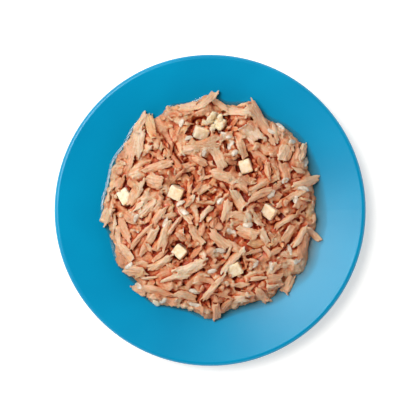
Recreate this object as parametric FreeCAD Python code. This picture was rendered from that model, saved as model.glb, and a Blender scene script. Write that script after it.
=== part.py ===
"""Small round plate with a mound of flaked fish and diced cheese, as three kinds of separate solid.

plate        glazed stoneware: flat well, wide flange of constant slope, full-round lip and a foot ring
flake_heap   the flaked fish in one solid out to its uneven outline, its top in overlapping flake ridges
cheese_N     the dice of cheese, each chamfered, tilted and bedded in a pocket of the heap

The origin is the centre of the plate's resting plane. +Z is up, +Y is away from the user. Millimetres.
"""
import FreeCAD, Part
import math
import os
import random

V = FreeCAD.Vector

# Plate
plate_radius = 80.0
wall = 3.8
well_radius = 47.0         # where the flat of the well and the slope of the flange would meet
flange_slope = 14.0        # degrees above level
well_blend = 16.0          # radius of the upper blend between well and flange
foot_radius = 41.0         # middle of the foot ring
foot_width = 4.0
foot_height = 2.6          # below the underside of the well
foot_round = 0.9
plate_turns = 3            # equal parts that the plate is turned in, so that no face goes right round

# Heap of flakes
heap_radius = 53.0         # of the outline before its bulges
heap_height = 13.6         # of the smooth mound over the plate, at its middle
heap_centre = (0.0, 1.4)
edge_height = 1.4          # upright rim of the heap, where it ends on the plate
mound_flatness = 2.3       # a higher value gives a flatter top
mound_shoulder = 0.72      # a lower value gives a steeper side
facet = 1.90               # side of the triangles that the heap's skin is made of
ring_drift = 0.12          # how far the rings of triangles draw together towards the edge
mesh_closeness = 0.001     # corners nearer than this are one

# Bulges of the outline: direction in degrees, half width in degrees, reach in mm
bulges = [
    (8, 9, 1.2), (38, 17, 3.9), (69, 5, 6.0), (91, 6, 5.2), (111, 8, 3.0), (131, 7, 4.9), (152, 10, 1.8),
    (180, 8, 2.6), (211, 8, 2.2), (237, 10, 4.4), (270, 9, 4.0), (304, 9, 3.0), (328, 11, 4.6), (351, 6, 2.2),
]

# Flake ridges on the heap's top
ridge_count = 190
ridge_length = (9.0, 20.0)
ridge_width = (4.4, 7.4)
ridge_height = (0.9, 4.2)
ridge_lean = 0.12          # rise of a ridge from one end to the other, per mm
ridge_spread = 0.93        # share of the way to the outline that the outermost ridges' middles lie at
ridge_turn = 0.7           # radians that a ridge may lie off the flow, either way
ridge_seed = 11
middle_flow = -35.0        # heading of the flakes in the middle of the heap, in degrees
end_power = 6              # a higher value makes a ridge's ends more abrupt
side_power = 4             # the same for its long sides
edge_fade = 0.10           # share of the outline over which the ridges sink to the edge
golden_angle = math.pi * (3.0 - math.sqrt(5.0))

# Dice of cheese: direction in degrees and share of the way to the outline, heading, tilt and its direction,
# and the share of the die's height that stands above the mound
die_side = 6.4
die_chamfer = 0.45
dice = [
    {"at": (97, 0.70), "heading": -18, "tilt": 24, "towards": -70, "proud": 0.42, "sides": (1.18, 0.96, 0.92)},
    {"at": (49, 0.50), "heading": 17, "tilt": 12, "towards": 200, "proud": 0.46, "sides": (0.94, 1.10, 0.95)},
    {"at": (156, 0.34), "heading": -24, "tilt": 20, "towards": 215, "proud": 0.45, "sides": (1.16, 1.04, 0.95)},
    {"at": (173, 0.80), "heading": 32, "tilt": 22, "towards": 150, "proud": 0.50, "sides": (0.98, 1.24, 0.95)},
    {"at": (-4, 0.56), "heading": -34, "tilt": 26, "towards": 190, "proud": 0.44, "sides": (1.12, 1.00, 0.98)},
    {"at": (236, 0.47), "heading": -40, "tilt": 16, "towards": 180, "proud": 0.50, "sides": (1.02, 0.96, 1.00)},
    {"at": (-68, 0.62), "heading": 28, "tilt": 28, "towards": 262, "proud": 0.48, "sides": (1.20, 1.08, 1.00)},
    {"at": (84, 0.80), "heading": -52, "tilt": 14, "towards": 120, "proud": 0.34, "sides": (1.22, 1.02, 0.82)},
]
die_clearing = 1.25        # the ridges fade out within this share of a die's longest side
die_bare = 0.45            # and have gone altogether within this share of that

slope = math.radians(flange_slope)
lip_radius = wall / 2.0
well_top = foot_height + wall
blend_run = well_blend * math.tan(slope / 2.0)
blend_start = well_radius - blend_run
blend_end = well_radius + blend_run * math.cos(slope)
lip_centre_r = plate_radius - lip_radius
lip_centre_z = well_top + (lip_centre_r - well_radius) * math.tan(slope) - lip_radius / math.cos(slope)


def plate_top(r):
    """Height of the plate's upper surface at radius r, short of the lip."""
    if r <= blend_start:
        return well_top
    if r < blend_end:
        return well_top + well_blend - math.sqrt(well_blend ** 2 - (r - blend_start) ** 2)
    return well_top + (r - well_radius) * math.tan(slope)


def arc(start, middle, end):
    return Part.Arc(V(start[0], 0, start[1]), V(middle[0], 0, middle[1]), V(end[0], 0, end[1])).toShape()


def line(start, end):
    return Part.makeLine(V(start[0], 0, start[1]), V(end[0], 0, end[1]))


def around(centre, radius, angle):
    return (centre[0] + radius * math.cos(angle), centre[1] + radius * math.sin(angle))


def make_plate():
    """The plate's half section, walked from the axis outwards along the top and back under it, then turned."""
    up = math.pi / 2.0
    upper_centre = (blend_start, well_top + well_blend)
    lip_centre = (lip_centre_r, lip_centre_z)
    lip_top = around(lip_centre, lip_radius, up + slope)
    lip_edge = around(lip_centre, lip_radius, slope)
    lip_under = around(lip_centre, lip_radius, slope - up)
    under_z = foot_height
    under_blend = well_blend + wall
    under_flat = blend_start
    under_slope_start = around(upper_centre, under_blend, slope - up)
    foot_in = foot_radius - foot_width / 2.0
    foot_out = foot_radius + foot_width / 2.0
    outer_round = (foot_out - foot_round, foot_round)
    inner_round = (foot_in + foot_round, foot_round)
    edges = [
        line((0, well_top), (blend_start, well_top)),
        arc((blend_start, well_top), around(upper_centre, well_blend, slope / 2.0 - up),
            around(upper_centre, well_blend, slope - up)),
        line(around(upper_centre, well_blend, slope - up), lip_top),
        arc(lip_top, around(lip_centre, lip_radius, slope + up / 2.0), lip_edge),
        arc(lip_edge, around(lip_centre, lip_radius, slope - up / 2.0), lip_under),
        line(lip_under, under_slope_start),
        arc(under_slope_start, around(upper_centre, under_blend, slope / 2.0 - up), (under_flat, under_z)),
        line((under_flat, under_z), (foot_out, under_z)),
        line((foot_out, under_z), (foot_out, foot_round)),
        arc((foot_out, foot_round), around(outer_round, foot_round, -up / 2.0), (outer_round[0], 0)),
        line((outer_round[0], 0), (inner_round[0], 0)),
        arc((inner_round[0], 0), around(inner_round, foot_round, -1.5 * up), (foot_in, foot_round)),
        line((foot_in, foot_round), (foot_in, under_z)),
        line((foot_in, under_z), (0, under_z)),
        line((0, under_z), (0, well_top)),
    ]
    section = Part.Face(Part.Wire(edges))
    turned = []
    for turn in range(plate_turns):
        start = section.copy()
        start.rotate(V(0, 0, 0), V(0, 0, 1), 360.0 * turn / plate_turns)
        turned.append(start.revolve(V(0, 0, 0), V(0, 0, 1), 360.0 / plate_turns))
    return turned[0].fuse(turned[1:]).Solids[0]


def outline(angle):
    """Distance from the heap's centre to its edge in a direction, in radians."""
    reach = 0.0
    for direction, half_width, out in bulges:
        turn = math.remainder(angle - math.radians(direction), 2.0 * math.pi) / math.radians(half_width)
        reach += out * math.exp(-turn * turn)
    return heap_radius + reach


def heap_point(angle, share):
    reach = share * outline(angle)
    return heap_centre[0] + reach * math.cos(angle), heap_centre[1] + reach * math.sin(angle)


def share_at(x, y):
    dx, dy = x - heap_centre[0], y - heap_centre[1]
    return math.hypot(dx, dy) / outline(math.atan2(dy, dx))


def mound(x, y):
    """Height of the smooth mound at a point, without ridges."""
    share = min(1.0, share_at(x, y))
    swell = (1.0 - share ** mound_flatness) ** mound_shoulder
    return plate_top(math.hypot(x, y)) + edge_height + (heap_height - edge_height) * swell


def flow(x, y):
    """The direction in which most flakes lie: round the heap at its edge, across it in the middle."""
    angle = math.atan2(y - heap_centre[1], x - heap_centre[0])
    share = share_at(x, y)
    return share * (angle + math.pi / 2.0) + (1.0 - share) * math.radians(middle_flow)


def place_ridges():
    rng = random.Random(ridge_seed)
    ridges = []
    for number in range(ridge_count):
        share = math.sqrt((number + 0.5) / ridge_count) * ridge_spread
        x, y = heap_point(number * golden_angle, share)
        heading = flow(x, y) + rng.uniform(-ridge_turn, ridge_turn)
        ridges.append({
            "x": x, "y": y, "cos": math.cos(heading), "sin": math.sin(heading),
            "half_length": rng.uniform(*ridge_length) / 2.0, "half_width": rng.uniform(*ridge_width) / 2.0,
            "height": rng.uniform(*ridge_height), "lean": rng.uniform(-ridge_lean, ridge_lean),
        })
    return ridges


def relief(x, y, ridges, dice_spots):
    """How far the topmost ridge stands above the mound at a point."""
    top = 0.0
    for ridge in ridges:
        dx, dy = x - ridge["x"], y - ridge["y"]
        along = dx * ridge["cos"] + dy * ridge["sin"]
        across = dy * ridge["cos"] - dx * ridge["sin"]
        u, v = along / ridge["half_length"], across / ridge["half_width"]
        if abs(u) < 1.0 and abs(v) < 1.0:
            rise = ridge["height"] + ridge["lean"] * along
            top = max(top, rise * (1.0 - u ** end_power) * (1.0 - v ** side_power))
    for spot_x, spot_y, reach in dice_spots:
        near = math.hypot(x - spot_x, y - spot_y) / reach
        top *= min(1.0, max(0.0, near - die_bare) / (1.0 - die_bare))
    return top * min(1.0, (1.0 - min(1.0, share_at(x, y))) / edge_fade)


def dice_places():
    """Centre and tilt of each die, from the mound's height where it lies."""
    places = []
    for die in dice:
        angle, share = math.radians(die["at"][0]), die["at"][1]
        x, y = heap_point(angle, share)
        sides = [die_side * part for part in die["sides"]]
        z = mound(x, y) + sides[2] * (die["proud"] - 0.5)
        places.append((die, sides, V(x, y, z)))
    return places


def make_die(die, sides, centre):
    box = Part.makeBox(sides[0], sides[1], sides[2], V(-sides[0] / 2.0, -sides[1] / 2.0, -sides[2] / 2.0))
    box = box.makeChamfer(die_chamfer, box.Edges)
    box.rotate(V(0, 0, 0), V(0, 0, 1), die["heading"])
    towards = math.radians(die["towards"])
    box.rotate(V(0, 0, 0), V(-math.sin(towards), math.cos(towards), 0), die["tilt"])
    box.translate(centre)
    return box


def make_heap(dice_spots):
    """Closed skin of triangles: ringed top, upright rim, and an underside that lies on the plate."""
    ridges = place_ridges()
    ring_count = max(8, round(heap_radius / facet))
    points, facets = [], []

    def skin(x, y):
        return mound(x, y) + relief(x, y, ridges, dice_spots)

    def add_ring(count, share):
        """A ring of the top skin."""
        ring = []
        for step in range(count):
            x, y = heap_point(2.0 * math.pi * step / count, share)
            ring.append(len(points))
            points.append(V(x, y, skin(x, y)))
        return ring

    def under_ring(count, limit):
        """A ring of the underside, at a fixed distance from the plate's axis or at the outline."""
        ring = []
        for step in range(count):
            x, y = heap_point(2.0 * math.pi * step / count, 1.0)
            shrink = 1.0 if limit is None else limit / math.hypot(x, y)
            ring.append(len(points))
            points.append(V(x * shrink, y * shrink, plate_top(math.hypot(x, y) * shrink)))
        return ring

    def join(inner, outer):
        """Triangles between two rings, always taking the step that is behind in angle."""
        i = o = 0
        while i < len(inner) or o < len(outer):
            inner_next, outer_next = (i + 1) / len(inner), (o + 1) / len(outer)
            a, b = inner[i % len(inner)], outer[o % len(outer)]
            if o < len(outer) and (i >= len(inner) or outer_next <= inner_next):
                facets.append((a, b, outer[(o + 1) % len(outer)]))
                o += 1
            else:
                facets.append((a, b, inner[(i + 1) % len(inner)]))
                i += 1

    points.append(V(heap_centre[0], heap_centre[1], skin(*heap_centre)))
    previous = [0]
    for number in range(1, ring_count + 1):
        spread = number / ring_count
        ring = add_ring(6 * number, spread * (1.0 + ring_drift * (1.0 - spread)))
        if len(previous) == 1:
            facets.extend((0, ring[k], ring[(k + 1) % len(ring)]) for k in range(len(ring)))
        else:
            join(previous, ring)
        previous = ring

    count = len(previous)
    lower = under_ring(count, None)
    nearest = min(math.hypot(points[k].x, points[k].y) for k in lower)
    join(previous, lower)
    for limit in (blend_end, (blend_start + blend_end) / 2.0, blend_start):
        if limit < nearest - facet / 2.0:
            inner = under_ring(count, limit)
            join(lower, inner)
            lower = inner
    middle = len(points)
    points.append(V(0, 0, points[lower[0]].z))
    facets.extend((lower[k], middle, lower[(k + 1) % count]) for k in range(count))

    shell = Part.Shape()
    shell.makeShapeFromMesh(([(p.x, p.y, p.z) for p in points], facets), mesh_closeness)
    heap = Part.Solid(Part.Shell(shell.Faces))
    if heap.Volume < 0:
        heap.reverse()
    return heap


def main():
    os.makedirs("parts", exist_ok=True)
    plate = make_plate()
    places = dice_places()
    spots = [(centre.x, centre.y, max(sides) * die_clearing) for die, sides, centre in places]
    heap = make_heap(spots)
    blocks = [make_die(*place) for place in places]
    heap = max(heap.cut(blocks).Solids, key=lambda solid: solid.Volume)
    plate.exportStep("parts/plate.step")
    heap.exportStep("parts/flake_heap.step")
    for number, block in enumerate(blocks, 1):
        block.exportStep(f"parts/cheese_{number}.step")
    print("volumes", round(plate.Volume), round(heap.Volume), "faces", len(heap.Faces), heap.isValid())
    print("height", round(heap.BoundBox.ZMax, 2), "lip", round(lip_centre_z + lip_radius, 2))


main()
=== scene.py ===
import math
import random

import bmesh
import bpy
import numpy as np
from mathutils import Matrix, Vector
from mathutils.bvhtree import BVHTree
from mathutils.kdtree import KDTree


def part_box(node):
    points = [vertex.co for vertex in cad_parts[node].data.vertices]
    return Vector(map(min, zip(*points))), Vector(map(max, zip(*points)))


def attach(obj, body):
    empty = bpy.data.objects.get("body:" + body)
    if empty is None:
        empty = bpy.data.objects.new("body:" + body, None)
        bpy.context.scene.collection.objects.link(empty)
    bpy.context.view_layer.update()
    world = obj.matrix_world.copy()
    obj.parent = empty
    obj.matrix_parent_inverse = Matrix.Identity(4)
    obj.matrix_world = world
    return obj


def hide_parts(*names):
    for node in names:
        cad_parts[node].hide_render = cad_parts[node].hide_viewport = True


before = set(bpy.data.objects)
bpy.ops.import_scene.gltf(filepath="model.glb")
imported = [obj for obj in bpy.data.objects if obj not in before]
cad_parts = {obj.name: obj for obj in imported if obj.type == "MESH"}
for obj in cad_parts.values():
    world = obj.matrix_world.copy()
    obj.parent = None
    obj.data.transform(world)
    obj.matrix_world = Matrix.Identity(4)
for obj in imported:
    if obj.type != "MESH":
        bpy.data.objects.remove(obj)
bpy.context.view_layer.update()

mm = 0.001
dieNames = sorted(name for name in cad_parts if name.startswith("cheese_"))
print("frame loaded:", len(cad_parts), "nodes")


# small helpers

def deselect():
    if bpy.context.mode != "OBJECT":
        bpy.ops.object.mode_set(mode="OBJECT")
    bpy.ops.object.select_all(action="DESELECT")
    bpy.context.view_layer.objects.active = None


def activate(piece):
    deselect()
    piece.select_set(True)
    bpy.context.view_layer.objects.active = piece


def newObject(name, data):
    piece = bpy.data.objects.new(name, data)
    bpy.context.scene.collection.objects.link(piece)
    return piece


def applyModifier(piece, kind, **settings):
    activate(piece)
    modifier = piece.modifiers.new(kind.title(), kind)
    for name, value in settings.items():
        setattr(modifier, name, value)
    bpy.ops.object.modifier_apply(modifier=modifier.name)


def pick(piece, test):  # selects the corners that pass the test, in edit mode
    mesh = bmesh.from_edit_mesh(piece.data)
    for corner in mesh.verts:
        corner.select = test(corner.co)
    mesh.select_flush_mode()
    bmesh.update_edit_mesh(piece.data)


def placeMesh(piece):  # the object goes to the origin and its place goes into its mesh
    activate(piece)
    bpy.ops.object.transform_apply(location=True, rotation=True, scale=True)


def roughen(piece, name, relief, middle=0.5, depth=2, **settings):
    # Pushes the skin in and out by noise; relief is the noise's size and height
    size, height = relief
    texture = bpy.data.textures.get(name) or bpy.data.textures.new(name, "CLOUDS")
    texture.noise_scale = size
    texture.noise_depth = depth
    applyModifier(piece, "DISPLACE", texture=texture, strength=height, mid_level=middle, **settings)


def guideAt(place, stretch):  # an empty that roughen reads its coordinates from
    guide = bpy.data.objects.get("grainGuide") or newObject("grainGuide", None)
    guide.location = place
    guide.scale = stretch
    bpy.context.view_layer.update()
    return {"texture_coords": "OBJECT", "texture_coords_object": guide}


def copyOf(node, name, edit):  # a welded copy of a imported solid; edit changes its selected corners
    piece = node.copy()
    piece.data = node.data.copy()
    for key in list(piece.keys()):
        del piece[key]
    piece.parent = None
    piece.name = name
    bpy.context.scene.collection.objects.link(piece)
    activate(piece)
    bpy.ops.object.mode_set(mode="EDIT")
    bpy.ops.mesh.select_all(action="SELECT")
    bpy.ops.mesh.remove_doubles(threshold=0.01 * mm)
    edit()
    bpy.ops.object.mode_set(mode="OBJECT")
    if piece.data.has_custom_normals:
        bpy.ops.mesh.customdata_custom_splitnormals_clear()
    return piece


def treeOf(piece):
    mesh = bmesh.new()
    mesh.from_mesh(piece.data)
    tree = BVHTree.FromBMesh(mesh)
    mesh.free()
    return tree


# colours and material nodes

def linear(code):  # from a colour's six-figure screen code to the amounts of light that shaders take
    parts = [int(code[place:place + 2], 16) / 255 for place in (0, 2, 4)]
    parts = [part / 12.92 if part <= 0.04045 else ((part + 0.055) / 1.055) ** 2.4 for part in parts]
    return parts + [1.0]


def setNode(tree, node, settings):  # each is a value of the node or an input, or a socket that feeds it
    for name, value in settings.items():
        if isinstance(value, bpy.types.NodeSocket):
            tree.links.new(value, node.inputs[name])
        elif isinstance(name, str) and hasattr(node, name):
            setattr(node, name, value)
        else:
            node.inputs[name].default_value = value
    return node


def addNode(tree, kind, settings=None):
    return setNode(tree, tree.nodes.new(kind), settings or {})


def newMaterial(name):
    material = bpy.data.materials.new(name)
    material.use_nodes = True
    tree = material.node_tree
    return material, tree, tree.nodes["Principled BSDF"]


def rampOf(tree, socket, stops):
    node = addNode(tree, "ShaderNodeValToRGB", {"Fac": socket})
    elements = node.color_ramp.elements
    while len(elements) < len(stops):
        elements.new(0.5)
    for element, (position, colour) in zip(elements, stops):
        element.position = position
        element.color = linear(colour)
    return node.outputs["Color"]


def noiseOf(tree, place, size, detail=1.0, roughness=0.5):
    settings = {"Vector": place, "Scale": 1 / size, "Detail": detail, "Roughness": roughness}
    return addNode(tree, "ShaderNodeTexNoise", settings).outputs["Fac"]


def bumpOf(tree, socket, height, strength):
    settings = {"Height": socket, "Distance": height, "Strength": strength}
    return addNode(tree, "ShaderNodeBump", settings).outputs["Normal"]


def attributeOf(tree, name):
    return addNode(tree, "ShaderNodeAttribute", {"attribute_name": name}).outputs["Fac"]


def mathOf(tree, operation, first, second):
    return addNode(tree, "ShaderNodeMath", {"operation": operation, 0: first, 1: second}).outputs[0]


def mixOf(tree, share, first, second, kind="MIX"):  # inputs 6 and 7 and output 2 are the node's colours
    settings = {"data_type": "RGBA", "blend_type": kind, 0: share, 6: first, 7: second}
    return addNode(tree, "ShaderNodeMix", settings).outputs[2]


glaze = {
    "blue": "0093C0",
    "deepBlue": "008BB8",
    "gloss": "DCF6FC",          # tint of what it mirrors
    "biscuit": "D8CDBD",        # bare clay on the foot
    "roughness": 0.26,
    "biscuitRoughness": 0.85,
    "poolSize": 30 * mm,        # the glaze's slow change of depth
    "peelSize": 5 * mm,         # orange peel of a fired glaze
    "peelHeight": 0.02 * mm,
    "bareHeight": 0.5 * mm,     # the glaze is wiped off the foot below this
}


def glazedStoneware():
    # Blue glaze fired on stoneware: one smooth glassy colour, with bare clay where the foot was wiped
    material, tree, shader = newMaterial("blueGlazedStoneware")
    place = addNode(tree, "ShaderNodeTexCoord").outputs["Object"]
    pool = noiseOf(tree, place, glaze["poolSize"])
    colour = rampOf(tree, pool, [(0.3, glaze["deepBlue"]), (0.7, glaze["blue"])])
    up = addNode(tree, "ShaderNodeSeparateXYZ", {"Vector": place}).outputs["Z"]
    bare = mathOf(tree, "LESS_THAN", up, glaze["bareHeight"])
    rough = addNode(tree, "ShaderNodeMapRange",
                    {"Value": bare, "To Min": glaze["roughness"], "To Max": glaze["biscuitRoughness"]})
    peel = noiseOf(tree, place, glaze["peelSize"])
    setNode(tree, shader, {
        "Base Color": mixOf(tree, bare, colour, linear(glaze["biscuit"])),
        "Roughness": rough.outputs["Result"],
        "Normal": bumpOf(tree, peel, glaze["peelHeight"], 1.0),
        "IOR": 1.5,
        "Specular IOR Level": 0.40,
        "Specular Tint": linear(glaze["gloss"]),
    })
    return material


flesh = {
    "tones": [(0.0, "D0956D"), (0.4, "DBAE8A"), (0.75, "DFBF9D"), (1.0, "E3CCB0")],
    "yellow": "E8C593",
    "depths": [(0.0, "FFFFFF"), (0.3, "FED4B9"), (0.65, "EA7E4D"), (1.0, "B83A12")],    # painted shade, darker and redder in the crevices
    "fibreWidth": 0.6 * mm,
    "stretch": 9,               # how many times longer a fibre is than it is wide
    "crumbStretch": 2.0,        # the same in a crumb of flesh
    "streak": 0.3,              # how far a fibre's tone strays from its flake's
    "fibreHeight": 0.6 * mm,
    "roughness": (0.36, 0.56),
    "wet": 0.30,                # share of the thin gravy's gloss
    "glow": 0.55,               # light that goes into the flesh
    "glowReach": 1.4 * mm,
}


def cookedFlesh():
    # Cooked fish, pulled apart: long pale muscle fibres, moist with gravy, with painted shade, red-brown,
    # darkening the crevices
    material, tree, shader = newMaterial("cookedFishFlake")
    along = addNode(tree, "ShaderNodeUVMap", {"uv_map": "fibre"}).outputs["UV"]
    fibre = noiseOf(tree, along, flesh["fibreWidth"], 3.0, 0.6)
    spread = addNode(tree, "ShaderNodeMapRange",
                     {"Value": fibre, "From Min": 0.3, "From Max": 0.7,
                      "To Min": -flesh["streak"], "To Max": flesh["streak"]})
    shade = mathOf(tree, "ADD", attributeOf(tree, "tone"), spread.outputs["Result"])
    colour = rampOf(tree, shade, flesh["tones"])
    colour = mixOf(tree, attributeOf(tree, "yellow"), colour, linear(flesh["yellow"]))
    # painted shade: the colour is multiplied darker and redder where the heap hides more of the sky
    shadow = rampOf(tree, attributeOf(tree, "paintedShade"), flesh["depths"])
    smooth, dull = flesh["roughness"]
    rough = addNode(tree, "ShaderNodeMapRange", {"Value": fibre, "To Min": smooth, "To Max": dull})
    setNode(tree, shader, {
        "Base Color": mixOf(tree, 1.0, colour, shadow, "MULTIPLY"),
        "Roughness": rough.outputs["Result"],
        "Normal": bumpOf(tree, fibre, flesh["fibreHeight"], 0.8),
        "Subsurface Weight": flesh["glow"],
        "Subsurface Radius": (1.0, 0.42, 0.25),
        "Subsurface Scale": flesh["glowReach"],
        "Coat Weight": flesh["wet"],
        "Coat Roughness": 0.22,
        "IOR": 1.38,
    })
    return material


cheese = {
    "light": "FBE5C6",
    "dark": "F0CD9C",
    "blotch": 2.2 * mm,
    "grain": 0.5 * mm,
    "grainHeight": 0.10 * mm,
    "voxel": 0.4 * mm,
    "smoothing": 2,
    "crumble": (1.7 * mm, 0.6 * mm),        # size and height of the crumbling at the cut faces
    "broken": "cheese_8",       # this die has fallen apart a little
    "brokenCrumble": (2.6 * mm, 4.5 * mm),
    "crumbleMiddle": 0.55,      # above a half, crumbling takes off more than it adds
    "crumbShape": (1.3, 1, 0.7),            # length, width and height of a loose crumb
    "crumbSink": 0.9 * mm,
}


def paleCheese():
    # Diced young cheese: cream to butter yellow, close and waxy, a little crumbled at its cut faces
    material, tree, shader = newMaterial("palePressedCheese")
    place = addNode(tree, "ShaderNodeTexCoord").outputs["Object"]
    blotch = noiseOf(tree, place, cheese["blotch"], 2.0)
    grain = noiseOf(tree, place, cheese["grain"], 2.0)
    setNode(tree, shader, {
        "Base Color": rampOf(tree, blotch, [(0.3, cheese["dark"]), (0.6, cheese["light"])]),
        "Normal": bumpOf(tree, grain, cheese["grainHeight"], 0.6),
        "Roughness": 0.45,
        "Subsurface Weight": 0.6,
        "Subsurface Radius": (1.0, 0.8, 0.5),
        "Subsurface Scale": 2 * mm,
    })
    return material


rice = {
    "white": "EADBC9",
    "grey": "CDBAA4",
    "cloud": 1.6 * mm,
    "length": 5.2 * mm,
    "width": 2.7 * mm,
    "thickness": 2.2 * mm,
    "variety": (0.85, 1.1),     # a grain's width and thickness, as shares of these
    "swelling": (2 * mm, 1.2 * mm),         # size and height of its uneven swelling
    "bow": 0.4,                 # most that a grain is bowed sideways
    "sink": 0.68,               # share of its thickness that goes below what it lies on
}


def cookedRice():
    # Cooked rice: swollen starch, white at the heart and slightly clear at the skin, with a wet gloss
    material, tree, shader = newMaterial("cookedRiceStarch")
    place = addNode(tree, "ShaderNodeTexCoord").outputs["Object"]
    cloud = noiseOf(tree, place, rice["cloud"])
    setNode(tree, shader, {
        "Base Color": rampOf(tree, cloud, [(0.35, rice["grey"]), (0.65, rice["white"])]),
        "Roughness": 0.28,
        "Subsurface Weight": 0.5,
        "Subsurface Radius": (1.0, 0.9, 0.8),
        "Subsurface Scale": 1.5 * mm,
        "Coat Weight": 0.4,
        "Coat Roughness": 0.15,
    })
    return material


broth = {
    # tint: the broth's colour, made darker and greener as painted shade where the film lies in the heap's
    # shadow
    "tint": "4E6348",
    "clearness": 0.60,          # share of the light that passes straight through it at its deepest
    "fade": 0.6,                # below 1, its tint fades slower than its depth
    "depth": 0.55 * mm,
    "reach": 1.8 * mm,          # how far the film runs out past the flakes
    "wander": 0.8 * mm,
    "waves": (2, 3, 5, 7, 11, 16, 23),      # how often each wave of its outline goes round the heap
    "waveSum": 2.5,             # about what they add up to at most
    "lean": (math.radians(-20), 4.5 * mm),  # painted shadow in part: the film runs further to this side, where the heap's shadow falls, and thins out there
    "thinning": 1.3,            # how much wider its edge gets than it has run, so that the painted shadow fades out softly
    "calm": 5,                  # steps either side that its outline is smoothed over
    "edge": 1.4 * mm,           # width of the rounded edge
    "edgeSteps": 8,
    "inside": 0.90,             # share of the outline that the film starts at, under the flakes
    "sink": 0.15 * mm,          # it reaches into the plate by this, so that no air shows between them
    "steps": 300,
}


def clearBroth():
    # Thin fish broth: a film under a millimetre deep, nearly clear, as glossy as water with a little oil;
    # its dark green tint is partly painted shade for the heap's shadow on the plate
    material, tree, shader = newMaterial("fishBrothAndPaintedShadow")
    thick = mathOf(tree, "POWER", attributeOf(tree, "depth"), broth["fade"])
    setNode(tree, shader, {
        "Base Color": linear(broth["tint"]),
        "Alpha": mathOf(tree, "MULTIPLY", thick, 1 - broth["clearness"]),
        "IOR": 1.5,
        "Roughness": 0.12,
        "Specular IOR Level": 1.0,
        "Coat Weight": 1.0,
        "Coat Roughness": 0.1,
        "Coat IOR": 1.55,
    })
    return material


# plate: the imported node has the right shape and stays

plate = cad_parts["plate"]
plate.data.materials.clear()
plate.data.materials.append(glazedStoneware())
print("plate glazed")


# the ground that everything is laid on: heights on a fine grid, kept up to date as pieces come down

ground = {"cell": 0.5 * mm, "reach": 64 * mm}
ground["count"] = round(2 * ground["reach"] / ground["cell"])
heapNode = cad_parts["flake_heap"]
heapLow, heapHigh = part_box("flake_heap")
heapCorners = np.array([corner.co for corner in heapNode.data.vertices])
heapMiddle = np.array([(heapLow.x + heapHigh.x) / 2, (heapLow.y + heapHigh.y) / 2])
skyHeight = heapHigh.z + 20 * mm        # rays are cast down from here


def castHeights(tree):
    heights = np.zeros((ground["count"], ground["count"]))
    centres = (np.arange(ground["count"]) + 0.5) * ground["cell"] - ground["reach"]
    down = Vector((0, 0, -1))
    for row, x in enumerate(centres):
        for column, y in enumerate(centres):
            hit = tree.ray_cast(Vector((x, y, skyHeight)), down)[0]
            if hit is not None:
                heights[row, column] = hit.z
    return heights


def cellsOf(points):
    cells = np.floor((points[:, :2] + ground["reach"]) / ground["cell"]).astype(int)
    return np.clip(cells, 0, ground["count"] - 1)


def heightUnder(points):
    cells = cellsOf(points)
    return ground["heights"][cells[:, 0], cells[:, 1]]


def raiseGround(points):
    cells = cellsOf(points)
    np.maximum.at(ground["heights"], (cells[:, 0], cells[:, 1]), points[:, 2])


def blurred(heights, cells):
    size = 2 * cells + 1
    for axis in (0, 1):
        widths = [(cells + 1, cells) if side == axis else (0, 0) for side in (0, 1)]
        padded = np.pad(heights, widths, mode="edge")
        total = np.cumsum(padded, axis=axis)
        heights = (np.take(total, range(size, total.shape[axis]), axis=axis)
                   - np.take(total, range(total.shape[axis] - size), axis=axis)) / size
    return heights


def edgeReaches(steps=180):  # distance from the heap's middle to its edge, all the way round
    reaches = np.zeros(steps)
    offsets = heapCorners[:, :2] - heapMiddle
    turns = np.arctan2(offsets[:, 1], offsets[:, 0]) / (2 * np.pi) % 1
    turns = np.floor(turns * steps).astype(int) % steps
    np.maximum.at(reaches, turns, np.hypot(offsets[:, 0], offsets[:, 1]))
    return reaches


heapEdge = edgeReaches()


def edgeAt(angles):
    turns = (angles / (2 * np.pi) % 1) * len(heapEdge) - 0.5
    return np.interp(turns, np.arange(len(heapEdge)), heapEdge, period=len(heapEdge))


def shareOf(points):  # 0 in the heap's middle and 1 at its edge
    offsets = points[:, :2] - heapMiddle
    return np.hypot(offsets[:, 0], offsets[:, 1]) / edgeAt(np.arctan2(offsets[:, 1], offsets[:, 0]))


# core: the mashed inside of the heap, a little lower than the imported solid

core = {
    "lower": 0.83,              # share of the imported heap's height
    "voxel": 0.9 * mm,
    "lumps": [(4.0 * mm, 2.2 * mm), (1.6 * mm, 0.8 * mm)],   # size and height of its relief
    "tone": 0.5,
}


def modelCore():
    lower = {"value": (1, 1, core["lower"]), "center_override": (*heapMiddle, heapLow.z)}
    piece = copyOf(heapNode, "flesh_core", lambda: bpy.ops.transform.resize(**lower))
    applyModifier(piece, "REMESH", mode="VOXEL", voxel_size=core["voxel"])
    for relief in core["lumps"]:
        roughen(piece, f"lumps{relief[0]}", relief)
    bpy.ops.object.shade_smooth()
    return piece


fleshCore = modelCore()
plateTree = treeOf(plate)
target = castHeights(treeOf(heapNode))
ground["heights"] = np.maximum(castHeights(plateTree), castHeights(treeOf(fleshCore)))
print("core modelled:", len(fleshCore.data.polygons), "faces")


# dice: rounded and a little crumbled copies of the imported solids

def modelDie(name, number):
    piece = copyOf(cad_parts[name], f"cheese_die_{number}", bpy.ops.mesh.tris_convert_to_quads)
    applyModifier(piece, "REMESH", mode="VOXEL", voxel_size=cheese["voxel"])
    applyModifier(piece, "SMOOTH", factor=0.5, iterations=cheese["smoothing"])
    relief = cheese["brokenCrumble"] if name == cheese["broken"] else cheese["crumble"]
    roughen(piece, f"crumble{relief[0]}", relief, middle=cheese["crumbleMiddle"], depth=3)
    bpy.ops.object.shade_smooth()
    piece.data.materials.clear()
    piece.data.materials.append(cheeseMaterial)
    return piece


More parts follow.
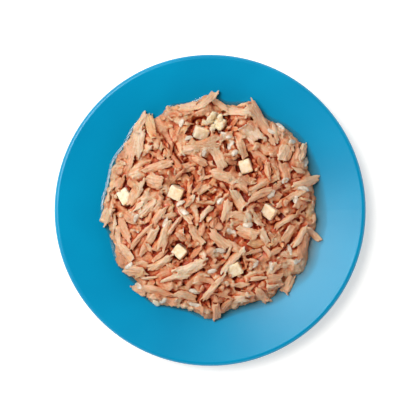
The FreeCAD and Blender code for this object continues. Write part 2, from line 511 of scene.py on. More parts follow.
cheeseMaterial = paleCheese()
dice = [modelDie(name, number) for number, name in enumerate(dieNames, 1)]
for die in dice:
    ground["heights"] = np.maximum(ground["heights"], castHeights(treeOf(die)))
diceMiddles = np.array([[(low.x + high.x) / 2, (low.y + high.y) / 2]
                        for low, high in map(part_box, dieNames)])
print("dice modelled:", len(dice))


# flakes: each shape is modelled once, then copied and laid on what is already there

# crown: how high a flake arches; steps and fibres: faces along and across; rag: how raggedly its ends
# tear; ridge: how far its fibres stand apart in height; taper: share of the width left at its ends

flakeForms = {
    "broad": {"count": 10, "length": 13 * mm, "width": 6 * mm, "thickness": 1.7 * mm, "crown": 0.6 * mm,
              "steps": 13, "fibres": 6, "rag": 0.15, "ridge": 0.32 * mm, "taper": (0.35, 0.95)},
    "slim": {"count": 9, "length": 11.5 * mm, "width": 3.9 * mm, "thickness": 1.5 * mm, "crown": 0.5 * mm,
             "steps": 10, "fibres": 4, "rag": 0.14, "ridge": 0.3 * mm, "taper": (0.3, 0.9)},
    "shred": {"count": 6, "length": 8 * mm, "width": 1.9 * mm, "thickness": 1.1 * mm, "crown": 0.35 * mm,
              "steps": 7, "fibres": 3, "rag": 0.14, "ridge": 0.15 * mm, "taper": (0.2, 0.7)},
}
fibreForms = {
    "sameRise": 0.45,           # share of the next fibre's height that a fibre takes on
    "sameTear": 0.4,            # the same for how far it is torn
    "tear": (-1.0, 0.7),        # an end is torn off or hangs out by up to this, in shares of the rag
    "pulls": ((1, 1.0), (2, 0.5)),          # corners counted from the end, and their share of the tear
    "narrowing": (0, 0.35, 0.65),           # share of its width that each column keeps whatever the taper
    "grain": (1.4 * mm, 1.5 * mm),          # size and height of the fine relief
    "bulge": (4 * mm, 2.0 * mm),
    "stretch": (3.5, 1.0, 1.0),
    "twist": 22,                # most degrees from end to end
}


def shapeOf(piece, length, width):  # the modelled piece as arrays, standing on its lowest point
    points = np.array([corner.co for corner in piece.data.vertices])
    points[:, 2] -= points[:, 2].min()
    faces = [list(face.vertices) for face in piece.data.polygons]
    bpy.data.objects.remove(piece)
    return {"points": points, "faces": faces, "length": length, "width": width}


def modelFlake(name, form, seed):
    rng = random.Random(seed)
    deselect()
    bpy.ops.mesh.primitive_grid_add(x_subdivisions=form["steps"], y_subdivisions=form["fibres"], size=1.0)
    piece = bpy.context.object
    piece.name = name
    piece.scale = (form["length"], form["width"], 1.0)
    placeMesh(piece)
    step = form["length"] / form["steps"]
    row = form["width"] / form["fibres"]
    half = form["length"] / 2
    bpy.ops.object.mode_set(mode="EDIT")
    bpy.ops.mesh.select_mode(type="VERT")
    rise, tears = 0.0, {-1: 0.0, 1: 0.0}
    for fibre in range(form["fibres"] + 1):
        across = fibre * row - form["width"] / 2
        share = across / (form["width"] / 2)
        rise = fibreForms["sameRise"] * rise + rng.uniform(-1, 1) * form["ridge"]
        pick(piece, lambda co: abs(co.y - across) < row / 4)
        bpy.ops.transform.translate(value=(0, 0, rise + form["crown"] * (1 - share ** 2)))
        for side in (-1, 1):    # fibres tear at their own places, neighbours not far apart
            tear = rng.uniform(*fibreForms["tear"]) * form["rag"] * form["length"]
            tears[side] = fibreForms["sameTear"] * tears[side] + tear
            for column, follow in fibreForms["pulls"]:
                pick(piece, lambda co: abs(co.y - across) < row / 4
                     and abs(co.x * side - half + (column - 1) * step) < step / 4)
                bpy.ops.transform.translate(value=(side * tears[side] * follow, 0, 0))
    for side in (-1, 1):
        first = rng.uniform(*form["taper"])
        for column, kept in enumerate(fibreForms["narrowing"]):
            near = half - (column + 0.5) * step
            far = half + form["length"] if column == 0 else near + step
            pick(piece, lambda co: near < co.x * side < far)
            bpy.ops.transform.resize(value=(1, kept + (1 - kept) * first, 1))
    bpy.ops.object.mode_set(mode="OBJECT")
    applyModifier(piece, "SOLIDIFY", thickness=form["thickness"], offset=-1.0)
    guide = guideAt([rng.uniform(0, 1) for _ in range(3)], fibreForms["stretch"])
    roughen(piece, "fleshGrain", fibreForms["grain"], direction="Z", **guide)
    roughen(piece, "fleshBulge", fibreForms["bulge"], direction="Y", **guide)
    twist = math.radians(rng.uniform(-fibreForms["twist"], fibreForms["twist"]))
    applyModifier(piece, "SIMPLE_DEFORM", deform_method="TWIST", deform_axis="X", angle=twist)
    return shapeOf(piece, form["length"], form["width"])


crumbForm = {"count": 8, "size": 3.4 * mm, "relief": (1.7 * mm, 3.4 * mm), "stretch": (1.6, 1.0, 1.0)}


def modelCrumb(name, seed):
    rng = random.Random(seed)
    deselect()
    bpy.ops.mesh.primitive_cube_add(size=crumbForm["size"])
    piece = bpy.context.object
    piece.name = name
    applyModifier(piece, "SUBSURF", levels=2, render_levels=2)
    guide = guideAt([rng.uniform(0, 1) for _ in range(3)], crumbForm["stretch"])
    roughen(piece, "crumbGrain", crumbForm["relief"], **guide)
    return shapeOf(piece, crumbForm["size"], crumbForm["size"])


shapes = {kind: [modelFlake(f"{kind}{n}", form, 100 * n + len(kind)) for n in range(form["count"])]
          for kind, form in flakeForms.items()}
shapes["crumb"] = [modelCrumb(f"crumb{n}", 40 + n) for n in range(crumbForm["count"])]
print("flake shapes modelled:", {kind: len(found) for kind, found in shapes.items()})


def samplesOf(points, faces):  # corners, and points spread over each face, to mark the ground with
    marks = [points]
    for size in (3, 4):
        chosen = [face for face in faces if len(face) == size]
        if chosen:
            corners = points[np.array(chosen)]
            middle = corners.mean(axis=1, keepdims=True)
            marks.append(middle[:, 0])
            marks.append(((corners + middle) / 2).reshape(-1, 3))
            marks.append(((corners + np.roll(corners, 1, axis=1)) / 2).reshape(-1, 3))
    return np.concatenate(marks)


laying = {
    "tilt": math.tan(math.radians(30)),     # steepest that a flake lies
    "rest": 60,                 # percentile of the ground below it that it settles to
    "drape": 0.85,              # share of the ground's bend that it takes on
    "bend": 2.0 * mm,           # farthest that it bends off its own plane
    "above": 4.5 * mm,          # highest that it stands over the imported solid
    "evenSolid": 4,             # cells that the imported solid's heights are evened out by
    "evenHeap": 3,              # and the heap's, so that one flake's edge isn't taken for a gap
    "outermost": 0.98,          # share of the heap's area that places are drawn from
    "luck": 0.6 * mm,           # random addition to a gap, so that not only the deepest are filled
    "tries": 7,                 # for one flake, each turned and moved on from the last
    "turn": 0.6,
    "inward": 0.06,
    "tone": (0.1, 1),
    "yellow": 0.6,              # how yellow the few yellow flakes are
    "yellowShare": 0.05,
}
aimed = blurred(np.maximum(target, ground["heights"]), laying["evenSolid"])


def layDown(shape, place, heading, size, sink, bow):
    # Turns a flake to its heading, tilts and bends it to what lies under it, and sets it down
    local = shape["points"] * size
    length = shape["length"] * size[0]
    local[:, 1] += bow * (local[:, 0] ** 2 - (length / 2) ** 2 / 3) / length
    cos, sin = math.cos(heading), math.sin(heading)
    points = np.empty_like(local)
    points[:, 0] = local[:, 0] * cos - local[:, 1] * sin + place[0]
    points[:, 1] = local[:, 0] * sin + local[:, 1] * cos + place[1]
    under = heightUnder(points)
    along, across = local[:, 0], local[:, 1]
    terms = np.column_stack([along, across, np.ones(len(along))])
    plane = np.linalg.lstsq(terms, under, rcond=None)[0]
    plane[:2] = np.clip(plane[:2], -laying["tilt"], laying["tilt"])
    bed = terms @ plane
    curve = np.polyfit(along, under - bed, 3)
    bed = bed + np.clip(laying["drape"] * np.polyval(curve, along), -laying["bend"], laying["bend"])
    lift = np.percentile(under - bed, laying["rest"])
    cells = cellsOf(points)
    ceiling = aimed[cells[:, 0], cells[:, 1]] + laying["above"] - local[:, 2].max()
    points[:, 2] = np.minimum(bed + lift - sink, ceiling) + local[:, 2]
    return points


laid = []   # every flake's middle, heading, tone, yellow and how far its fibres run, in the order laid


def emptyPile():
    return {"points": [], "faces": [], "owners": [], "total": 0}


def addToPile(pile, shape, points, heading=0.0, tone=0.0, yellow=0.0, run=1.0):
    raiseGround(samplesOf(points, shape["faces"]))
    pile["faces"].extend([corner + pile["total"] for corner in face] for face in shape["faces"])
    pile["points"].append(points)
    pile["owners"].append(np.full(len(points), len(laid)))
    pile["total"] += len(points)
    laid.append((*points[:, :2].mean(axis=0), heading, tone, yellow, run))


# the large flakes on top: x, y, length and width in mm, and heading in degrees

topFlakes = [
    (25, 47, 20, 7, -60), (20, 40, 12, 9, -50), (14, 50, 15, 5, -8), (-2, 56, 14, 5, 42),
    (5, 54, 10, 4, -35), (-11, 53, 11, 6, 10), (-30, 42, 15, 5.5, -78), (-36, 44, 13, 4, 62),
    (-37, 35, 15, 8, 80), (-21, 31, 11, 5, 76), (-27, 22, 17, 5, 18), (-42, 26, 17, 7, 76),
    (-6, 32.5, 20, 7, 12), (4, 27, 15, 6.5, -62), (16, 31, 12, 5, -70), (27, 26, 14, 5, -35),
    (32.5, 22, 13, 3.5, -75), (6, 17.5, 14, 6.5, -18), (38, 29, 9, 8, 70), (47.5, 30, 11, 4, 74),
    (48, 14, 15, 5, 20), (42.5, 7.3, 21, 4, 28), (25, 12.5, 19, 4, 27), (26, 8, 16, 4, 24),
    (14, 5, 12, 6, -58), (8, -1, 11, 5.5, 75), (17, -3, 17, 5, -8), (18, -11, 11, 7, -15),
    (4, -14, 13, 6, -44), (-7, -13, 14, 5, -60), (-27, -4.5, 15, 5, 58), (-32, 1, 13, 5, 48),
    (-38, 8, 15, 6.5, 64), (-36, -14, 16, 3, 50), (-31.5, -16, 16, 5, 60), (-44, -9, 15, 5.5, -68),
    (-23, -13, 15, 5.5, 70), (-18, -8, 11, 2.5, 55), (-25, -26.5, 14, 5, 30), (-10, -29, 18, 7, 25),
    (-19, -34.5, 14, 3, 14), (-27, -41, 17, 5, -14), (-12, -44, 13, 5, -20), (1, -40, 18, 4, 50),
    (10.5, -26, 17, 4.5, 50), (24, -17, 13, 5, -20), (40, -39, 11, 5, 62), (32, -37, 10, 8, 10),
    (40, -12, 12, 5, 60), (46, -13, 13, 4.5, 55), (53, -12, 9, 4, -45), (37, -6, 12, 3.5, 35),
    (27, -13, 10, 4.5, -64), (13, -46, 12, 5, 8), (3, -52, 10, 5, -85), (27, -44, 11, 5, -52),
    (-53, -3, 10, 6, 60), (-5, 25, 8, 5, -30), (-14, 21, 12, 5, 10), (-28, 14.5, 10, 8, -20),
    (-10, 13, 9, 3, 85), (-3, 11, 9, 4, 30), (-13, -1, 12, 5, -50), (-2, -1, 10, 3.5, 48),
    (-43, -22, 13, 5, -50), (-38, -31, 12, 7, -10), (-36.5, -41.5, 9, 4, -28),
]
topMiddles = np.array([row[:2] for row in topFlakes]) * mm
topHeadings = np.radians([row[4] for row in topFlakes])


def flowAt(place):  # flakes lie roughly as the large ones near them do
    near = 1 / (np.hypot(*(topMiddles - place).T) + 2 * mm) ** 3
    sines, cosines = (near * np.sin(2 * topHeadings)).sum(), (near * np.cos(2 * topHeadings)).sum()
    return 0.5 * math.atan2(sines, cosines)


# sink: how deep a flake is pressed in; spread: radians that it strays from the flow; limit: greatest
# share of the heap's reach; clear: distance from a die's middle; under: how far below the solid it ends

layers = {
    "rim": {"kind": "crumb", "pile": "under", "count": 110, "tries": 8, "sink": 1.5 * mm,
            "spread": 1.5, "from": 0.92, "length": (1.3, 2.3), "width": (1.2, 1.9),
            "height": (0.8, 1.2), "bow": 0.0, "limit": 1.03, "clear": 4.8 * mm, "under": -3 * mm},
    "filling": {"kind": "slim", "pile": "under", "count": 280, "tries": 26, "sink": 0.8 * mm,
                "spread": 0.5, "length": (0.7, 1.3), "width": (0.85, 1.45),
                "height": (0.8, 1.2), "bow": 0.35, "limit": 1.0, "clear": 4.7 * mm,
                "under": 0.4 * mm},
    "flaked": {"kind": "broad", "pile": "under", "count": 120, "tries": 20, "sink": 0.9 * mm,
               "spread": 0.45, "length": (0.6, 1.05), "width": (0.55, 0.95),
               "height": (0.8, 1.2), "bow": 0.3, "limit": 1.01, "clear": 4.9 * mm,
               "under": 0.1 * mm},
    "loose": {"kind": "slim", "pile": "loose", "count": 110, "tries": 14, "sink": 0.8 * mm,
              "spread": 0.5, "length": (0.45, 1.0), "width": (0.5, 0.95),
              "height": (0.7, 1.05), "bow": 0.3, "limit": 1.02, "clear": 4.8 * mm,
              "under": 0.2 * mm},
    "shreds": {"kind": "shred", "pile": "loose", "count": 130, "tries": 14, "sink": 0.5 * mm,
               "spread": 0.6, "length": (0.5, 1.2), "width": (1.0, 1.7),
               "height": (0.9, 1.3), "bow": 0.3, "limit": 1.02, "clear": 4.6 * mm,
               "under": -0.2 * mm},
    "mash": {"kind": "crumb", "pile": "under", "count": 380, "tries": 18, "sink": 1.6 * mm,
             "spread": 1.5, "length": (0.6, 1.7), "width": (0.5, 1.1),
             "height": (0.7, 1.2), "bow": 0.0, "limit": 1.02, "clear": 4.1 * mm, "under": -0.2 * mm},
}


def scatter(name, rng):
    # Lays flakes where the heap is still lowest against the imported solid, until there are enough
    layer = layers[name]
    pile = piles[layer["pile"]]
    run = flesh["crumbStretch"] if layer["kind"] == "crumb" else flesh["stretch"]
    placed = 0
    for _ in range(layer["count"]):
        gaps = target - layer["under"] - blurred(ground["heights"], laying["evenHeap"])
        best, place = -1.0, None
        for _ in range(layer["tries"]):
            angle = rng.uniform(0, 2 * math.pi)
            share = math.sqrt(rng.uniform(layer.get("from", 0.0) ** 2, laying["outermost"]))
            reach = share * edgeAt(np.array([angle]))[0]
            spot = heapMiddle + reach * np.array([math.cos(angle), math.sin(angle)])
            cell = cellsOf(spot[None, :])[0]
            gap = gaps[cell[0], cell[1]] + rng.uniform(0, laying["luck"])
            if gap > best:
                best, place = gap, spot
        if best < 0:
            continue
        shape = rng.choice(shapes[layer["kind"]])
        size = np.array([rng.uniform(*layer[side]) for side in ("length", "width", "height")])
        heading = flowAt(place) + rng.gauss(0, layer["spread"]) + rng.choice((0, math.pi))
        bow = rng.uniform(-1, 1) * layer["bow"]
        for _ in range(laying["tries"]):
            points = layDown(shape, place, heading, size, layer["sink"], bow)
            away = np.hypot(*(points[:, None, :2] - diceMiddles[None]).transpose(2, 0, 1)).min()
            if shareOf(points).max() < layer["limit"] and away > layer["clear"]:
                tone = rng.uniform(*laying["tone"])
                yellow = laying["yellow"] * (rng.random() < laying["yellowShare"])
                addToPile(pile, shape, points, heading, tone, yellow, run)
                placed += 1
                break
            heading += laying["turn"]
            place = place + laying["inward"] * (heapMiddle - place)
    print(name, "laid:", placed)


packing = {
    "count": 11,                # crumbs round each die
    "reach": (4.0 * mm, 5.2 * mm),
    "size": (0.55, 0.85),
    "tall": 1.8,
    "below": (1.9 * mm, 3.4 * mm),      # how far under the die's highest corner they end
    "tone": (0.3, 1),
}


def packDice(rng):  # presses mash into the gap round each die
    for name, middle in zip(dieNames, diceMiddles):
        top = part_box(name)[1].z
        for turn in range(packing["count"]):
            angle = 2 * math.pi * (turn + rng.random()) / packing["count"]
            crumb = rng.choice(shapes["crumb"])
            points = crumb["points"] * rng.uniform(*packing["size"]) * (1, 1, packing["tall"])
            away = rng.uniform(*packing["reach"])
            points[:, :2] += middle + away * np.array([math.cos(angle), math.sin(angle)])
            points[:, 2] += top - rng.uniform(*packing["below"]) - points[:, 2].max()
            tone = rng.uniform(*packing["tone"])
            addToPile(piles["under"], crumb, points, angle, tone, 0.0, flesh["crumbStretch"])


topping = {
    "width": 0.9,               # share of the width in the list, which the melted edges add to
    "height": (0.9, 1.2),
    "sink": 0.7 * mm,
    "bow": 0.3,
    "tone": (0.35, 1),
    "yellowShare": 0.04,
}


def layTopFlakes(rng):
    for x, y, length, width, heading in topFlakes:
        shape = rng.choice(shapes["broad"])
        size = np.array([length * mm / shape["length"], topping["width"] * width * mm / shape["width"],
                         rng.uniform(*topping["height"])])
        bow = rng.uniform(-topping["bow"], topping["bow"])
        points = layDown(shape, (x * mm, y * mm), math.radians(heading), size, topping["sink"], bow)
        tone = rng.uniform(*topping["tone"])
        yellow = laying["yellow"] * (rng.random() < topping["yellowShare"])
        addToPile(piles["large"], shape, points, math.radians(heading), tone, yellow, flesh["stretch"])
    print("large flakes laid:", len(topFlakes))


piles = {"under": emptyPile(), "large": emptyPile(), "loose": emptyPile()}
rng = random.Random(5)
packDice(rng)
for name in ("rim", "filling", "flaked"):
    scatter(name, rng)
layTopFlakes(rng)
for name in ("loose", "shreds", "mash"):
    scatter(name, rng)


# painted shade: the flesh is coloured darker and redder where the heap round it hides the sky
crevices = {
    "reaches": (0.8 * mm, 1.6 * mm, 2.8 * mm, 4.5 * mm),    # how far off the heap's height is looked up
    "directions": 12,
    "strength": 1.3,
    "rim": (0.12, 0.35),        # the rim gets less painted shade: its width, and the share of painted shade kept at its edge
}


def hiddenShare(points):
    # How much of the sky the heap round a point hides, from 0 in the open to 1 deep in a crevice; the
    # flesh's colour is darkened by it as painted shade
    heights = blurred(ground["heights"], 1)
    closed = np.zeros(len(points))
    for turn in range(crevices["directions"]):
        angle = 2 * math.pi * turn / crevices["directions"]
        steepest = np.zeros(len(points))
        for reach in crevices["reaches"]:
            cells = cellsOf(points[:, :2] + reach * np.array([math.cos(angle), math.sin(angle)]))
            steepest = np.maximum(steepest, (heights[cells[:, 0], cells[:, 1]] - points[:, 2]) / reach)
        closed += steepest ** 2 / (1 + steepest ** 2)
    rim, least = crevices["rim"]
    inside = np.clip((1 - shareOf(points)) / rim, least, 1)
    return np.clip(crevices["strength"] * inside * closed / crevices["directions"], 0, 1)


def meshOf(pile, name):
    mesh = bpy.data.meshes.new(name)
    mesh.from_pydata(np.concatenate(pile["points"]).tolist(), [], pile["faces"])
    piece = newObject(name, mesh)
    activate(piece)
    bpy.ops.object.shade_smooth()
    return piece


merging = {
    "under": {"voxel": 0.56 * mm, "grit": (1.7 * mm, 1.2 * mm)},
    "large": {"voxel": 0.42 * mm, "grit": (1.0 * mm, 0.4 * mm)},
    "loose": {"voxel": 0.42 * mm, "grit": (1.0 * mm, 0.4 * mm)},
    "smoothing": 1,
    "bundles": (1.0 * mm, 1.3 * mm),        # width and height of the bundles that the fibres lie in
    "mostFaces": 190000,        # triangles in one piece
    "leastCorners": 40,         # a bit with fewer corners than this is a speck
}


def cleanSkin(piece):  # takes out the specks that thin tips leave, and faces that lie back to back
    mesh = bmesh.new()
    mesh.from_mesh(piece.data)
    sharing = {}
    for face in mesh.faces:
        sharing.setdefault(frozenset(corner.index for corner in face.verts), []).append(face)
    flaps = [face for faces in sharing.values() if len(faces) > 1 for face in faces]
    bmesh.ops.delete(mesh, geom=flaps, context="FACES")
    unseen = set(mesh.verts)
    specks = []
    while unseen:
        shell = [unseen.pop()]
        for corner in shell:
            near = {edge.other_vert(corner) for edge in corner.link_edges} & unseen
            unseen -= near
            shell += near
        if len(shell) < merging["leastCorners"]:
            specks += shell
    bmesh.ops.delete(mesh, geom=specks, context="VERTS")
    mesh.to_mesh(piece.data)
    mesh.free()


def mergeFlesh(piece, settings):  # what overlaps becomes one moist skin, soft where the flakes meet
    applyModifier(piece, "REMESH", mode="VOXEL", voxel_size=settings["voxel"])
    applyModifier(piece, "SMOOTH", factor=0.5, iterations=merging["smoothing"])
    roughen(piece, f"grit{settings['grit'][0]}", settings["grit"])
    share = merging["mostFaces"] / (2 * len(piece.data.polygons))
    if share < 1:
        applyModifier(piece, "DECIMATE", ratio=share)
    cleanSkin(piece)
    activate(piece)
    bpy.ops.object.shade_smooth()


def paintFlesh(piece, pointsOf, ownersOf, material):
    # Each corner takes its tone and its fibres' direction from the flake that it is nearest to, and
    # painted shade from how much sky the heap round it hides
    near = KDTree(len(pointsOf))
    for index, point in enumerate(pointsOf):
        near.insert(point, index)
    near.balance()
    mesh = piece.data
    points = np.array([corner.co for corner in mesh.vertices])
    rows = np.array(laid)[ownersOf[[near.find(point)[1] for point in points]]]
    heading, tone, yellow, run = rows[:, 2:].T
    offsets = points[:, :2] - rows[:, :2]
    cos, sin = np.cos(heading), np.sin(heading)
    fibres = np.column_stack([(offsets[:, 0] * cos + offsets[:, 1] * sin) / run,
                              offsets[:, 1] * cos - offsets[:, 0] * sin]) + tone[:, None]
    loops = np.empty(len(mesh.loops), dtype=np.int32)
    mesh.loops.foreach_get("vertex_index", loops)
    mesh.uv_layers.new(name="fibre").data.foreach_set("uv", fibres[loops].astype(np.float32).ravel())
    # paintedShade: the share of sky hidden, which darkens the flesh's colour as painted shade
    for name, values in (("tone", tone), ("yellow", yellow), ("paintedShade", hiddenShare(points))):
        attribute = mesh.attributes.new(name, "FLOAT", "POINT")
        attribute.data.foreach_set("value", values.astype(np.float32))
    mesh.materials.clear()
    mesh.materials.append(material)
    roughen(piece, "bundles", merging["bundles"], texture_coords="UV", uv_layer="fibre")
    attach(piece, "root")


fleshMaterial = cookedFlesh()
laid.append((*heapMiddle, 0.0, core["tone"], 0.0, 1.0))     # the core's own row
corePoints = np.array([corner.co for corner in fleshCore.data.vertices])
under = piles["under"]
underPoints = np.concatenate([corePoints, *under["points"]])
underOwners = np.concatenate([np.full(len(corePoints), len(laid) - 1), *under["owners"]])
flakes = meshOf(under, "flakes_under")
activate(fleshCore)
flakes.select_set(True)
bpy.ops.object.join()
fleshCore.name = "flesh_mass"
mergeFlesh(fleshCore, merging["under"])
paintFlesh(fleshCore, underPoints, underOwners, fleshMaterial)
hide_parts("flake_heap")
print("flesh merged:", len(fleshCore.data.polygons), "faces in the mass")
for kind in ("large", "loose"):
    pile = piles[kind]
    flakes = meshOf(pile, f"flakes_{kind}")
    mergeFlesh(flakes, merging[kind])
    paintFlesh(flakes, np.concatenate(pile["points"]), np.concatenate(pile["owners"]), fleshMaterial)
    print("flesh merged:", len(flakes.data.polygons), "faces in the", kind, "flakes")
for name, die in zip(dieNames, dice):
    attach(die, "root")
    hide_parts(name)


# rice: x and y in mm, heading in degrees and share of full length

grains = [
    (8, 38, -25, 1.2), (-3, 29, 80, 0.8), (-10.8, 36.6, 20, 0.8), (10.5, 33, 60, 1), (12.5, 29, 40, 0.8),
    (31, 40, -20, 0.9), (35.8, 43.2, -40, 0.9), (42, 35, 10, 0.8), (49.5, 25, 70, 1.1),
    (47.5, 11, -15, 1.25), (31, 8, 50, 1.0), (43.5, 5.5, 80, 0.8), (5, 4.5, 40, 0.8),
    (-22.5, -6, 70, 1.1), (-15, 3.5, 30, 1), (-13, -1, -30, 0.9), (19, -7.5, 5, 1), (10.5, -10.5, -20, 1),
    (5, -20.5, 0, 1.3), (40.5, -20, -75, 1.1), (23, -27.5, 55, 0.9), (31, -28.5, 88, 1.0),
    (44.5, -26, 35, 0.8), (1, -31, 20, 1), (-8, -41.5, -15, 1.1), (-8, -48.5, -10, 1.2),
    (-24, -46.5, 30, 1), (-41.5, -28.5, 40, 1), (-37, -39, -30, 0.8), (-37.5, -4, 60, 1),
    (38, 15, 30, 0.8), (-14.5, 44.5, 70, 0.9),
]


def modelGrain():
    deselect()
    bpy.ops.mesh.primitive_cube_add(size=1)
    piece = bpy.context.object
    applyModifier(piece, "SUBSURF", levels=3, render_levels=3)
    piece.scale = (rice["length"] / piece.dimensions.x, rice["width"] / piece.dimensions.y,
                   rice["thickness"] / piece.dimensions.z)
    placeMesh(piece)
    roughen(piece, "swelling", rice["swelling"], **guideAt((0.3, 0.1, 0.2), (1, 1, 1)))
    return shapeOf(piece, rice["length"], rice["width"])


def layRice():
    grain = modelGrain()
    pile = emptyPile()
    for x, y, heading, length in grains:
        size = np.array([length, rng.uniform(*rice["variety"]), rng.uniform(*rice["variety"])])
        bow = rng.uniform(-rice["bow"], rice["bow"])
        sink = rice["sink"] * rice["thickness"]
        points = layDown(grain, (x * mm, y * mm), math.radians(heading), size, sink, bow)
        addToPile(pile, grain, points)
    piece = meshOf(pile, "rice_grains")
    piece.data.materials.append(cookedRice())
    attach(piece, "root")


layRice()
print("rice laid:", len(grains))


# crumbs off the broken die, and a stray one: x and y in mm, and share of a full crumb

cheeseCrumbs = [
    (0, 45.5, 1.2), (1.5, 48, 1.1), (5.5, 48, 1.0), (7.5, 45, 0.8), (6, 42.5, 1.0), (1.5, 42, 0.9),
    (-2.5, 44.5, 0.7), (-27.5, -47.5, 0.9),
]


def layCheeseCrumbs():
    pile = emptyPile()
    for x, y, size in cheeseCrumbs:
        crumb = rng.choice(shapes["crumb"])
        heading = rng.uniform(0, 2 * math.pi)
        size = size * np.array(cheese["crumbShape"])
        points = layDown(crumb, (x * mm, y * mm), heading, size, cheese["crumbSink"], 0.0)
        addToPile(pile, crumb, points)
    piece = meshOf(pile, "cheese_crumbs")
    piece.data.materials.append(cheeseMaterial)
    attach(piece, "root")


layCheeseCrumbs()
print("cheese crumbs laid:", len(cheeseCrumbs))


# broth: a thin clear film round the heap, with a rounded edge; it runs further on the side where the
# heap's shadow falls, partly as painted shadow

def outlineOf(angles):  # how far out the film starts and ends, and how wide its edge is
    rng = random.Random(8)
    waves = [(k, rng.uniform(0, 2 * math.pi), rng.uniform(0.4, 1.0) / k ** 0.5) for k in broth["waves"]]
    wander = sum(size * np.sin(k * angles + phase) for k, phase, size in waves) / broth["waveSum"]
    outline = edgeAt(angles)
    calm = np.mean([np.roll(outline, k) for k in range(-broth["calm"], broth["calm"] + 1)], axis=0)
    side, further = broth["lean"]
    lean = further * np.maximum(np.cos(angles - side), 0) ** 1.5
    far = calm + broth["reach"] + broth["wander"] * wander + lean
    return calm * broth["inside"], far, broth["edge"] + broth["thinning"] * lean


def modelBroth():
    count = broth["steps"]
    angles = np.arange(count) * 2 * np.pi / count
    near, far, edge = outlineOf(angles)
    turns = [math.pi * k / broth["edgeSteps"] for k in range(1, broth["edgeSteps"])]
    profile = [(0.0, 1.0)]      # share of the rounded edge's width from its start, and share of the depth
    profile += [(0.5 * (1 - math.cos(turn)), 0.5 * (1 + math.cos(turn))) for turn in turns]
    profile += [(1.0, 0.0)]
    rings = [(near, 1.0)] + [(far - edge * (1 - across), up) for across, up in profile]
    depths = np.repeat([up for reaches, up in rings] + [0.0, 0.0], count)
    rings = [(reaches, up * broth["depth"]) for reaches, up in rings]
    rings += [(far, -broth["sink"]), (near, -broth["sink"])]     # underside, just inside the plate
    points = []
    for reaches, up in rings:
        flat = heapMiddle + reaches[:, None] * np.column_stack([np.cos(angles), np.sin(angles)])
        bed = [plateTree.ray_cast(Vector((x, y, skyHeight)), Vector((0, 0, -1)))[0].z for x, y in flat]
        points.append(np.column_stack([flat, np.array(bed) + up]))
    faces = []
    for ring in range(len(points)):
        after = (ring + 1) % len(points)
        for k in range(count):
            step = (k + 1) % count
            faces.append([ring * count + k, after * count + k, after * count + step, ring * count + step])
    piece = meshOf({"points": points, "faces": faces}, "broth_film")
    piece.data.attributes.new("depth", "FLOAT", "POINT").data.foreach_set("value", depths)
    piece.data.materials.append(clearBroth())
    bpy.ops.object.mode_set(mode="EDIT")
    bpy.ops.mesh.select_all(action="SELECT")
    bpy.ops.mesh.normals_make_consistent(inside=False)
    bpy.ops.object.mode_set(mode="OBJECT")
    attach(piece, "root")


modelBroth()
print("broth poured")
bpy.data.objects.remove(bpy.data.objects["grainGuide"])


# floor, light and camera

studio = {
    "floorSize": 6.0,
    "floorWhite": "F4F1EC",
    "floorGlow": 0.44,          # what the camera and mirrors see on top of the lit floor
    "keyAzimuth": 149,
    "keyZenith": 31,
    "keyDistance": 1.1,
    "keySize": 0.72,
    "keyPower": 11.4,
    "skyLevel": 1.14,
    "darkLevel": 0.02,
    "darkZenith": 0.74,         # the sky is dark above this height, where the camera stands
    "brightZenith": 0.38,
}


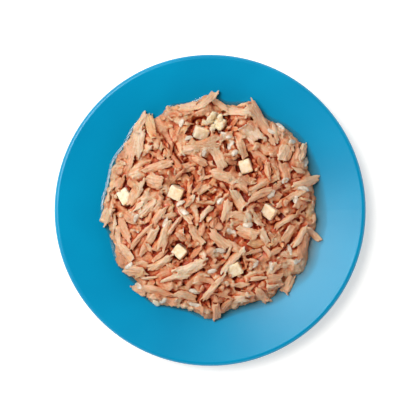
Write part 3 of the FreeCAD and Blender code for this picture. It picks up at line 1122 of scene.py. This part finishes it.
def makeFloor():
    deselect()
    bpy.ops.mesh.primitive_plane_add(size=studio["floorSize"], location=(0, 0, 0))
    floor = bpy.context.object
    floor.name = "floor"
    material, tree, shader = newMaterial("matteWhiteSweep")
    tree.nodes.remove(shader)
    path = addNode(tree, "ShaderNodeLightPath")
    seen = path.outputs["Is Camera Ray"]
    for kind in ("Is Glossy Ray", "Is Transmission Ray"):
        seen = mathOf(tree, "MAXIMUM", seen, path.outputs[kind])
    strength = mathOf(tree, "MULTIPLY", seen, studio["floorGlow"])
    matte = addNode(tree, "ShaderNodeBsdfDiffuse", {"Color": linear(studio["floorWhite"])})
    glow = addNode(tree, "ShaderNodeEmission", {"Strength": strength})
    both = addNode(tree, "ShaderNodeAddShader", {0: matte.outputs[0], 1: glow.outputs[0]})
    tree.links.new(both.outputs[0], tree.nodes["Material Output"].inputs["Surface"])
    floor.data.materials.append(material)


def makeLights():
    azimuth, zenith = math.radians(studio["keyAzimuth"]), math.radians(studio["keyZenith"])
    flat = math.sin(zenith)
    towards = Vector((math.cos(azimuth) * flat, math.sin(azimuth) * flat, math.cos(zenith)))
    lamp = bpy.data.lights.new("softbox", "AREA")
    lamp.shape = "DISK"
    lamp.size = studio["keySize"]
    lamp.energy = studio["keyPower"]
    key = newObject("softbox", lamp)
    key.location = towards * studio["keyDistance"]
    key.rotation_mode = "QUATERNION"
    key.rotation_quaternion = towards.to_track_quat("Z", "Y")
    world = bpy.data.worlds.new("studioRoom")
    bpy.context.scene.world = world
    world.use_nodes = True
    tree = world.node_tree
    place = addNode(tree, "ShaderNodeTexCoord").outputs["Generated"]
    up = addNode(tree, "ShaderNodeSeparateXYZ", {"Vector": place}).outputs["Z"]
    level = addNode(tree, "ShaderNodeMapRange", {
        "Value": up,
        "From Min": studio["darkZenith"],
        "From Max": studio["brightZenith"],
        "To Min": studio["darkLevel"],
        "To Max": studio["skyLevel"],
        "interpolation_type": "SMOOTHSTEP",
    })
    setNode(tree, tree.nodes["Background"], {"Color": (1, 1, 1, 1), "Strength": level.outputs["Result"]})


camera = {
    "lens": 100,
    "sensor": 36,
    "plateShare": 0.7412,       # share of the view's width that the plate fills
    "lipHalf": 1.9 * mm,        # the plate is widest at the middle of its lip
    "aside": (-0.08 * mm, 0.15 * mm),
}


def makeCamera():
    low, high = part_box("plate")
    lens = bpy.data.cameras.new("overhead")
    lens.lens = camera["lens"]
    lens.sensor_width = camera["sensor"]
    eye = newObject("overhead", lens)
    wide = (high.x - low.x) / camera["plateShare"]
    away = wide * camera["lens"] / camera["sensor"]
    eye.location = (*camera["aside"], away + high.z - camera["lipHalf"])
    bpy.context.scene.camera = eye


makeFloor()
makeLights()
makeCamera()
bpy.context.scene.view_settings.view_transform = "Standard"
print("studio set")
